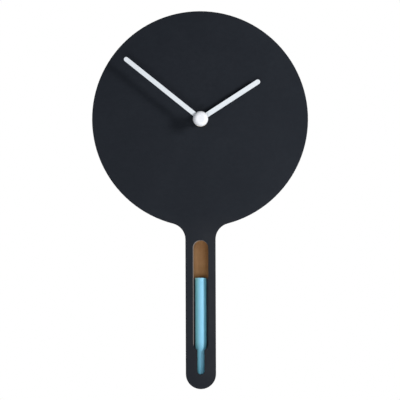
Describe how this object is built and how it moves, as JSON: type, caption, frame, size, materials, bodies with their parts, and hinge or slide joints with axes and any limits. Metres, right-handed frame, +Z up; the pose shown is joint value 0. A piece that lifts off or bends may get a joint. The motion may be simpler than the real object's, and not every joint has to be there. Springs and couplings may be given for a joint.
{
  "type": "chalkboard wall clock",
  "caption": "Paddle-shaped chalkboard wall clock: plain dark disc with straight white hands, and a handle with a keyhole slot that stores a stick of blue chalk.",
  "frame": {"origin": "centre of the hanging plate's entry hole, in the plane of the board's back", "axes": "+Z up along the handle's axis towards the top of the disc, +Y backwards into the wall, -Y out of the dial, +X to the right as the dial is read"},
  "size_m": [0.2, 0.0376, 0.35],
  "materials": {
    "chalkboard": "matt black chalkboard paint on a thin fibreboard panel",
    "fibreboard": "raw brown fibreboard, black painted edge",
    "hanger_steel": "zinc plated",
    "screw_steel": "zinc plated",
    "pad_rubber": "matt",
    "blue_chalk": "matt, dusty",
    "case_plastic": "fine texture",
    "plate_plastic": "moulded",
    "wheel_plastic": "moulded",
    "magnet": "sintered",
    "arbor_brass": "turned",
    "lamination": "stamped",
    "bobbin_plastic": "moulded",
    "copper_wire": "enamelled winding",
    "board_laminate": "solder mask",
    "crystal_can": "drawn can",
    "contact_spring": "nickel plated",
    "cell_wrap": "printed sleeve without lettering",
    "washer_rubber": "matt",
    "nut_brass": "turned",
    "hand_white": "satin white enamel",
    "cap_white": "semi gloss"
  },
  "bodies": {
    "board": {"front_panel": "chalkboard", "body_board": "fibreboard", "hanger_plate": "hanger_steel", "hanger_screws": "screw_steel", "wall_pads": "pad_rubber", "case_front": "case_plastic", "case_back": "case_plastic", "train_plate": "plate_plastic", "stator": "lamination", "coil_core": "lamination", "coil_bobbin": "bobbin_plastic", "coil_winding": "copper_wire", "circuit_board": "board_laminate", "quartz_crystal": "crystal_can", "contact_positive": "contact_spring", "contact_negative": "contact_spring", "rubber_washer": "washer_rubber", "flat_washer": "nut_brass", "fixing_nut": "nut_brass"},
    "minute": {"minute_arbor": "arbor_brass", "minute_hand": "hand_white", "hand_cap": "cap_white"},
    "hour": {"hour_wheel": "wheel_plastic", "hour_hand": "hand_white"},
    "transfer": {"transfer_wheel": "wheel_plastic"},
    "knob": {"set_knob": "plate_plastic"},
    "seconds": {"seconds_wheel": "wheel_plastic"},
    "rotor": {"rotor": "wheel_plastic", "rotor_magnet": "magnet"},
    "intermediate": {"intermediate_wheel": "wheel_plastic"},
    "third": {"third_wheel": "wheel_plastic"},
    "centre": {"centre_wheel": "wheel_plastic"},
    "chalk": {"chalk_stick": "blue_chalk"},
    "cell": {"battery_cell": "cell_wrap"}
  },
  "joints": [
    {"name": "minute_turn", "type": "hinge", "parent": "board", "child": "minute", "pos_m": [0.0004, -0.02, -0.06], "axis": [0, 1, 0], "continuous": true},
    {"name": "hour_turn", "type": "hinge", "parent": "board", "child": "hour", "pos_m": [0.0004, -0.02, -0.06], "axis": [0, 1, 0], "continuous": true},
    {"name": "transfer_turn", "type": "hinge", "parent": "board", "child": "transfer", "pos_m": [-0.00749, -0.008, -0.06287], "axis": [0, 1, 0], "continuous": true},
    {"name": "set_knob_turn", "type": "hinge", "parent": "board", "child": "knob", "pos_m": [-0.01446, -0.008, -0.05885], "axis": [0, 1, 0], "continuous": true},
    {"name": "seconds_turn", "type": "hinge", "parent": "board", "child": "seconds", "pos_m": [0.00606, -0.008, -0.04445], "axis": [0, 1, 0], "continuous": true},
    {"name": "rotor_turn", "type": "hinge", "parent": "board", "child": "rotor", "pos_m": [-0.01222, -0.008, -0.04684], "axis": [0, 1, 0], "continuous": true},
    {"name": "intermediate_turn", "type": "hinge", "parent": "board", "child": "intermediate", "pos_m": [-0.00335, -0.008, -0.04527], "axis": [0, 1, 0], "continuous": true},
    {"name": "third_turn", "type": "hinge", "parent": "board", "child": "third", "pos_m": [0.00975, -0.008, -0.0546], "axis": [0, 1, 0], "continuous": true},
    {"name": "centre_turn", "type": "hinge", "parent": "board", "child": "centre", "pos_m": [0.0004, -0.008, -0.06], "axis": [0, 1, 0], "continuous": true},
    {"name": "chalk_lift", "type": "slide", "parent": "board", "child": "chalk", "axis": [0, 0, 1], "range_m": [0, 0.03]},
    {"name": "cell_out", "type": "slide", "parent": "board", "child": "cell", "axis": [0, 1, 0], "range_m": [0, 0.03]}
  ],
  "couplings": [
    {"joint": "hour_turn", "follows": "minute_turn", "ratio": 0.083333},
    {"joint": "transfer_turn", "follows": "minute_turn", "ratio": -0.33333},
    {"joint": "set_knob_turn", "follows": "minute_turn", "ratio": 1.2},
    {"joint": "rotor_turn", "follows": "seconds_turn", "ratio": 30},
    {"joint": "intermediate_turn", "follows": "seconds_turn", "ratio": -6},
    {"joint": "third_turn", "follows": "seconds_turn", "ratio": -0.125},
    {"joint": "centre_turn", "follows": "seconds_turn", "ratio": 0.016667}
  ]
}
